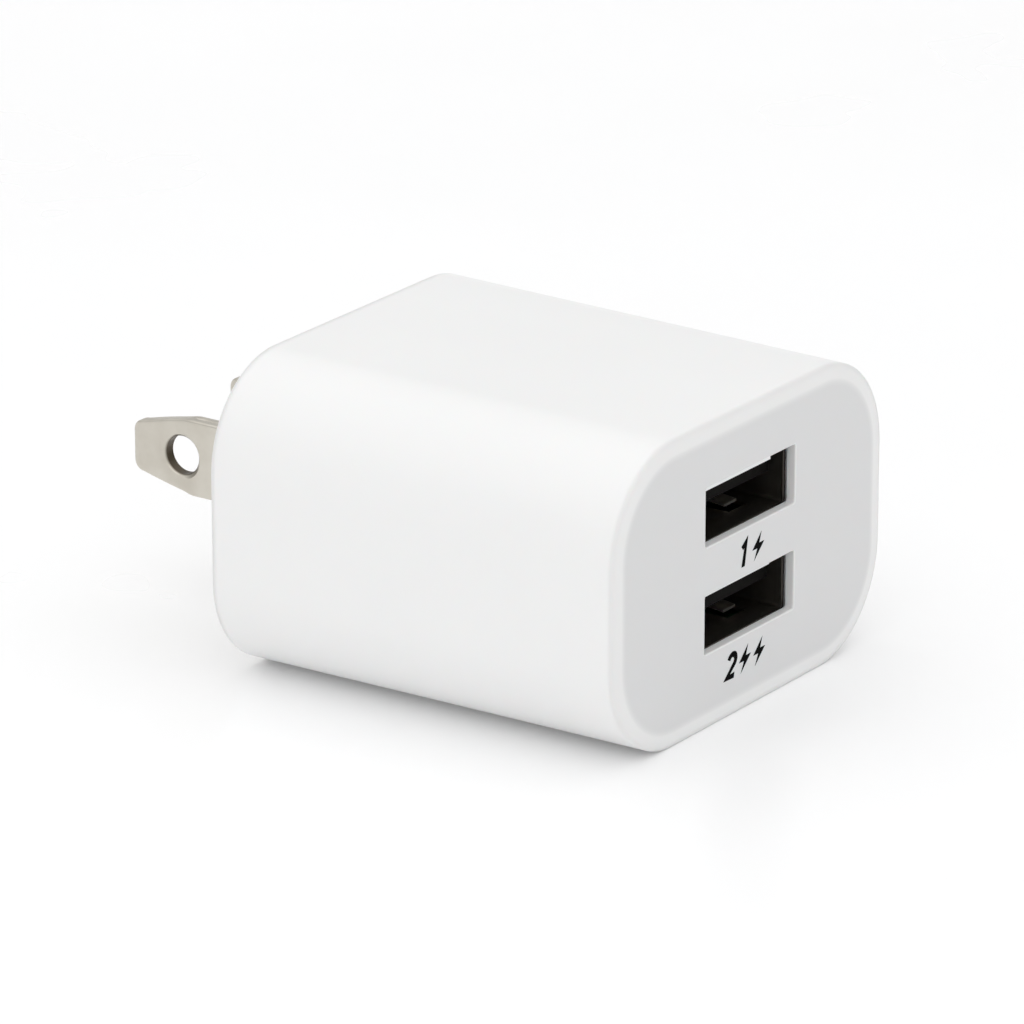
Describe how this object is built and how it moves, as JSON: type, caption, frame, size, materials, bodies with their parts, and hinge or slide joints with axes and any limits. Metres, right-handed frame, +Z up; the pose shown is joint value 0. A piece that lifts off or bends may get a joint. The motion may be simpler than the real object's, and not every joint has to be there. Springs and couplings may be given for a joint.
{
  "type": "usb wall charger",
  "caption": "Rounded white mains adapter with stacked USB-A sockets in one end and a pair of fixed flat blades in the other.",
  "frame": {"origin": "on the flat wall face, midway between the two blades", "axes": "+Y out of the wall face along the blades, -Y out of the socket face, +X across the blades and along the sockets' long side, +Z up as it lies on its flat underside"},
  "size_m": [0.0376, 0.0543, 0.0254],
  "materials": {
    "housing_white": "satin moulded",
    "nickel": "nickel plated",
    "tinned_steel": "bright tinned",
    "black_nylon": "matte",
    "gold_contact": "gold flash",
    "board_green": "solder mask",
    "ferrite": "matte",
    "bobbin_black": "matte",
    "winding_tape": "polyester tape",
    "capacitor_sleeve": "shrunk sleeve",
    "disc_blue": "dipped epoxy",
    "chip_epoxy": "moulded epoxy",
    "resistor_grey": "flameproof coating",
    "choke_green": "shrunk sleeve",
    "wire_red": "extruded insulation",
    "wire_black": "extruded insulation",
    "insulation_paper": "fibre paper"
  },
  "bodies": {
    "root": {"housing": "housing_white", "rear_cover": "housing_white", "blade_left": "nickel", "blade_right": "nickel", "usb_shell_upper": "tinned_steel", "usb_shell_lower": "tinned_steel", "usb_insulator_upper": "black_nylon", "usb_insulator_lower": "black_nylon", "usb_contact_upper_1": "gold_contact", "usb_contact_upper_2": "gold_contact", "usb_contact_upper_3": "gold_contact", "usb_contact_upper_4": "gold_contact", "usb_contact_lower_1": "gold_contact", "usb_contact_lower_2": "gold_contact", "usb_contact_lower_3": "gold_contact", "usb_contact_lower_4": "gold_contact", "usb_board": "board_green", "main_board": "board_green", "transformer_core_left": "ferrite", "transformer_core_right": "ferrite", "transformer_bobbin": "bobbin_black", "transformer_winding": "winding_tape", "input_capacitor_1": "capacitor_sleeve", "input_capacitor_2": "capacitor_sleeve", "output_capacitor_1": "capacitor_sleeve", "output_capacitor_2": "capacitor_sleeve", "y_capacitor": "disc_blue", "bridge_rectifier": "chip_epoxy", "charge_control_chip": "chip_epoxy", "optocoupler": "chip_epoxy", "output_diode": "chip_epoxy", "fusible_resistor": "resistor_grey", "filter_inductor": "choke_green", "mains_wire_live": "wire_red", "mains_wire_neutral": "wire_black", "insulation_sheet": "insulation_paper"}
  },
  "joints": []
}
